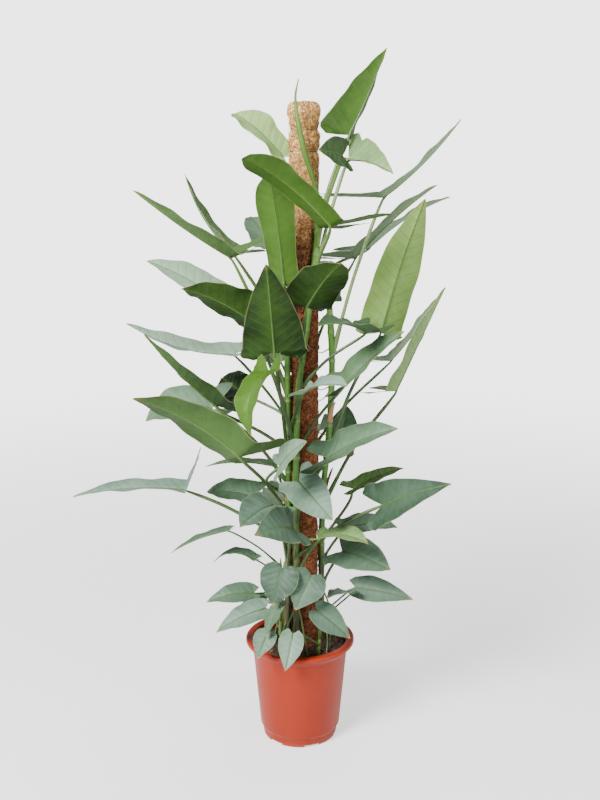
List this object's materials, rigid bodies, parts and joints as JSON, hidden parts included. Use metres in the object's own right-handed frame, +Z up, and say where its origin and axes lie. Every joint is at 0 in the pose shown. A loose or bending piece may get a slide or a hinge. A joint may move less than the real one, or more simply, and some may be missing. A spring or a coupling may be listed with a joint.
{
  "type": "potted climbing philodendron",
  "caption": "Climbing philodendron with long arrow-shaped green and silvery leaves, tied to a coir moss pole, in a round terracotta-coloured plastic nursery pot.",
  "frame": {"origin": "centre of the pot's underside, on the ground", "axes": "+Z up along the pot and the pole; +X to the right and +Y away from the viewer as the plant is pictured"},
  "size_m": [0.8284, 0.6008, 1.4785],
  "materials": {
    "pot": "satin",
    "soil": "matte, crumbly",
    "stick": "matte",
    "coir": "matte, fibrous",
    "stem": "satin",
    "leaf_green": "satin",
    "leaf_silver": "satin, waxy bloom",
    "leaf_young": "satin, waxy bloom"
  },
  "bodies": {
    "root": {"stem_front": "stem", "stem_left": "stem", "stem_right": "stem", "stem_back": "stem", "leaf_spear": "leaf_green", "leaf_01": "leaf_green", "leaf_02": "leaf_green", "leaf_03": "leaf_green", "leaf_04": "leaf_green", "leaf_05": "leaf_green", "leaf_06": "leaf_green", "leaf_07": "leaf_green", "leaf_08": "leaf_silver", "leaf_09": "leaf_silver", "leaf_10": "leaf_green", "leaf_11": "leaf_green", "leaf_12": "leaf_green", "leaf_13": "leaf_green", "leaf_14": "leaf_silver", "leaf_15": "leaf_silver", "leaf_16": "leaf_silver", "leaf_17": "leaf_silver", "leaf_18": "leaf_green", "leaf_19": "leaf_silver", "leaf_20": "leaf_silver", "leaf_21": "leaf_silver", "leaf_22": "leaf_silver", "leaf_23": "leaf_silver", "leaf_24": "leaf_silver", "leaf_25": "leaf_green", "leaf_26": "leaf_silver", "leaf_27": "leaf_green", "leaf_28": "leaf_green", "leaf_29": "leaf_green", "leaf_30": "leaf_silver", "leaf_31": "leaf_silver", "leaf_32": "leaf_silver", "leaf_33": "leaf_silver", "leaf_34": "leaf_silver", "leaf_35": "leaf_silver", "leaf_36": "leaf_silver", "leaf_37": "leaf_silver", "leaf_38": "leaf_silver", "leaf_39": "leaf_green", "leaf_40": "leaf_silver", "leaf_41": "leaf_silver", "leaf_42": "leaf_silver", "leaf_43": "leaf_silver", "leaf_44": "leaf_silver", "leaf_45": "leaf_silver", "leaf_46": "leaf_silver", "shoot_left": "leaf_young", "shoot_right": "leaf_young", "shoot_back": "leaf_young", "pot": "pot", "soil": "soil", "pole_stick": "stick", "pole_coir": "coir"}
  },
  "joints": []
}
